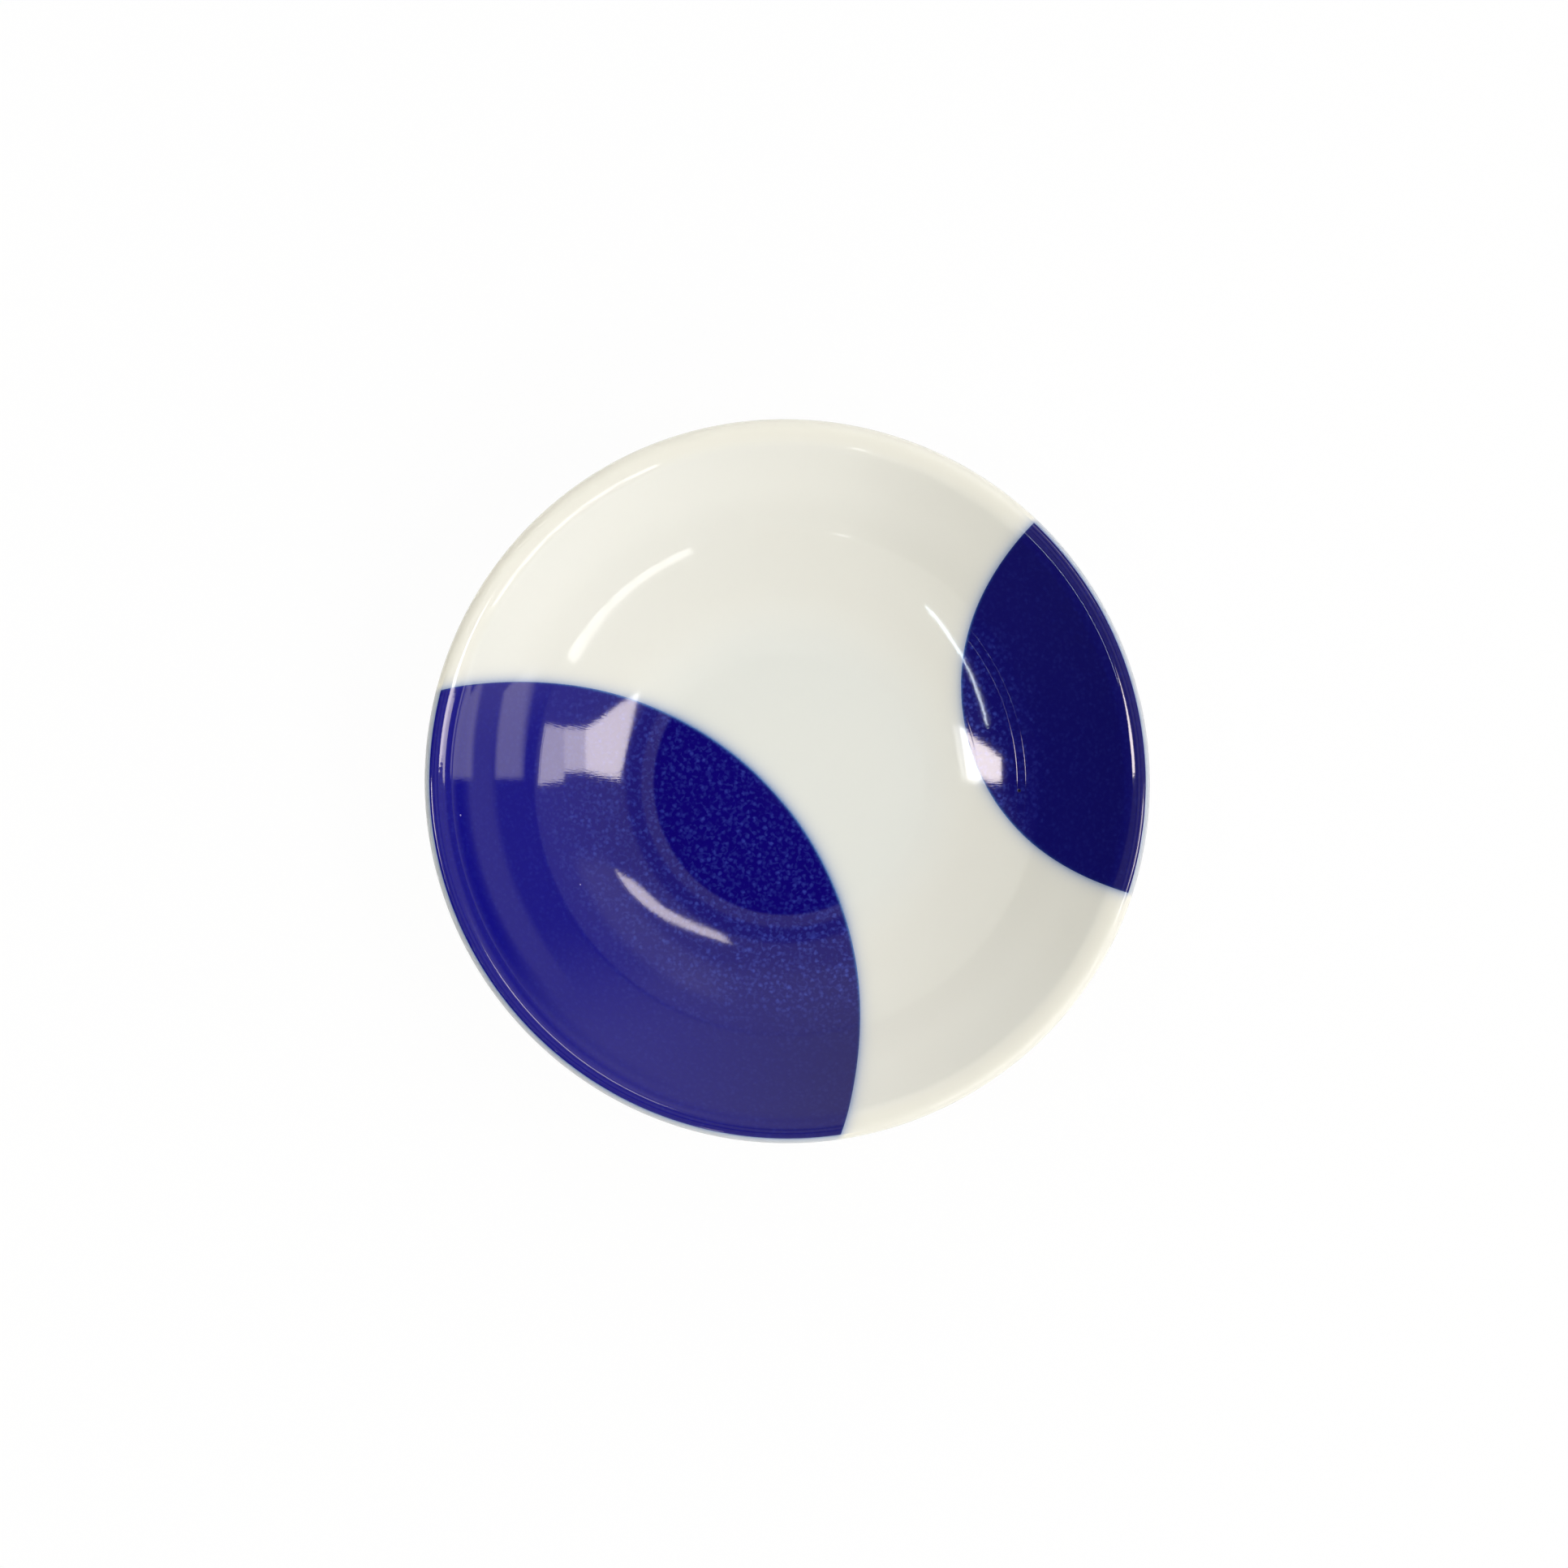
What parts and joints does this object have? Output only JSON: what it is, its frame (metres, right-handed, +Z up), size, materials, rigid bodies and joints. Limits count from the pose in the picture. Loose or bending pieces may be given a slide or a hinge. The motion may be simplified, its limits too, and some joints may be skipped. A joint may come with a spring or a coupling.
{
  "type": "sauce dish",
  "caption": "Small round sauce dish: shallow porcelain bowl with flat floor, curved wall, rounded lip and low foot ring, clear glazed, with cobalt blue dipped areas inside.",
  "frame": {"origin": "on the axis of the dish, in the plane of the foot ring's bearing face", "axes": "+Z up along the axis of the dish, out of its mouth; +Y away from the viewer, to the top of the picture; +X to the right"},
  "size_m": [0.095, 0.095, 0.0224],
  "materials": {
    "porcelain": "fired porcelain under the glaze",
    "bare_porcelain": "bare fired porcelain, matt",
    "clear_glaze": "clear gloss glaze over white porcelain",
    "cobalt_glaze": "gloss glaze stained with cobalt"
  },
  "bodies": {
    "root": {"bowl": "porcelain", "foot_ring": "bare_porcelain", "inside_glaze": "clear_glaze", "large_cobalt_dip": "cobalt_glaze", "small_cobalt_dip": "cobalt_glaze", "outside_glaze": "clear_glaze", "foot_well_glaze": "clear_glaze"}
  },
  "joints": []
}
